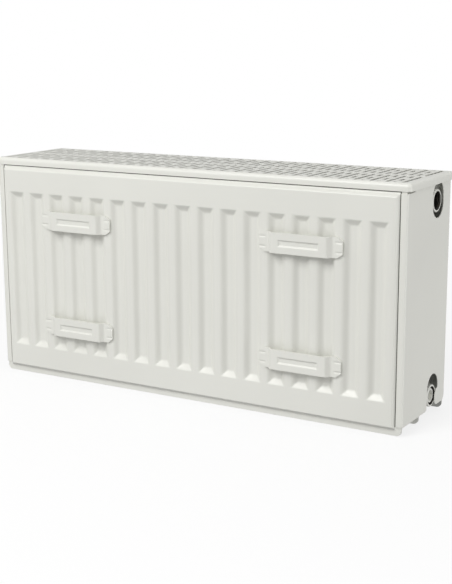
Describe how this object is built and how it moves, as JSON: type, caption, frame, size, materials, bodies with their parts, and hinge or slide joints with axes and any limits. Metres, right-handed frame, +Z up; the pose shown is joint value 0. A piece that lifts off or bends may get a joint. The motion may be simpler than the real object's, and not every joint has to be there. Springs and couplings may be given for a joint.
{
  "type": "panel radiator",
  "caption": "Low, deep steel panel radiator with fluted panels, welded wall lugs, threaded end connections, a lift-off slotted top grille and pull-off side covers.",
  "frame": {"origin": "centre of the bounding box at the floor on which the panels stand", "axes": "+X along the length to the right as seen from the wall, +Y from the wall side to the room side, +Z up"},
  "size_m": [0.6082, 0.152, 0.299],
  "materials": {
    "white_enamel": "satin white powder coat on pressed steel",
    "convector_enamel": "thin white paint on folded sheet steel",
    "spring_steel": "bare spring steel",
    "nickel": "satin nickel plate on brass",
    "brass": "machined brass",
    "seal_rubber": "matt black sealing rubber",
    "white_plastic": "moulded white plastic"
  },
  "bodies": {
    "panel_block": {"rear_panel_wall_sheet": "white_enamel", "rear_panel_room_sheet": "white_enamel", "middle_panel_wall_sheet": "white_enamel", "middle_panel_room_sheet": "white_enamel", "front_panel_wall_sheet": "white_enamel", "front_panel_room_sheet": "white_enamel", "rear_convector": "convector_enamel", "middle_convector": "convector_enamel", "front_convector": "convector_enamel", "connection_tee_upper_left": "white_enamel", "connection_tee_lower_left": "white_enamel", "connection_tee_upper_right": "white_enamel", "connection_tee_lower_right": "white_enamel", "header_tube_upper_left": "white_enamel", "header_tube_lower_left": "white_enamel", "header_tube_upper_right": "white_enamel", "header_tube_lower_right": "white_enamel", "hanging_lug_upper_left": "white_enamel", "hanging_lug_lower_left": "white_enamel", "hanging_lug_upper_right": "white_enamel", "hanging_lug_lower_right": "white_enamel", "blanking_plug": "white_enamel", "blanking_plug_seal": "seal_rubber", "vent_plug": "nickel", "vent_plug_seal": "seal_rubber"},
    "grille": {"top_grille": "white_enamel", "grille_clip_outer_left": "spring_steel", "grille_clip_inner_left": "spring_steel", "grille_clip_inner_right": "spring_steel", "grille_clip_outer_right": "spring_steel"},
    "cover_left": {"side_cover_left": "white_enamel"},
    "cover_right": {"side_cover_right": "white_enamel"},
    "bleed_screw": {"bleed_screw": "brass"},
    "vent_collar": {"vent_collar": "white_plastic"}
  },
  "joints": [
    {"name": "grille_lift", "type": "slide", "parent": "panel_block", "child": "grille", "axis": [0, 0, 1], "range_m": [0, 0.08]},
    {"name": "cover_left_pull", "type": "slide", "parent": "panel_block", "child": "cover_left", "axis": [-1, 0, 0], "range_m": [0, 0.05]},
    {"name": "cover_right_pull", "type": "slide", "parent": "panel_block", "child": "cover_right", "axis": [1, 0, 0], "range_m": [0, 0.05]},
    {"name": "bleed_screw_turn", "type": "hinge", "parent": "panel_block", "child": "bleed_screw", "pos_m": [-0.29915, 0.0292, 0.268], "axis": [-1, 0, 0], "range_deg": [0, 360]},
    {"name": "vent_collar_swivel", "type": "hinge", "parent": "panel_block", "child": "vent_collar", "pos_m": [-0.29915, 0.0292, 0.268], "axis": [-1, 0, 0], "continuous": true}
  ]
}
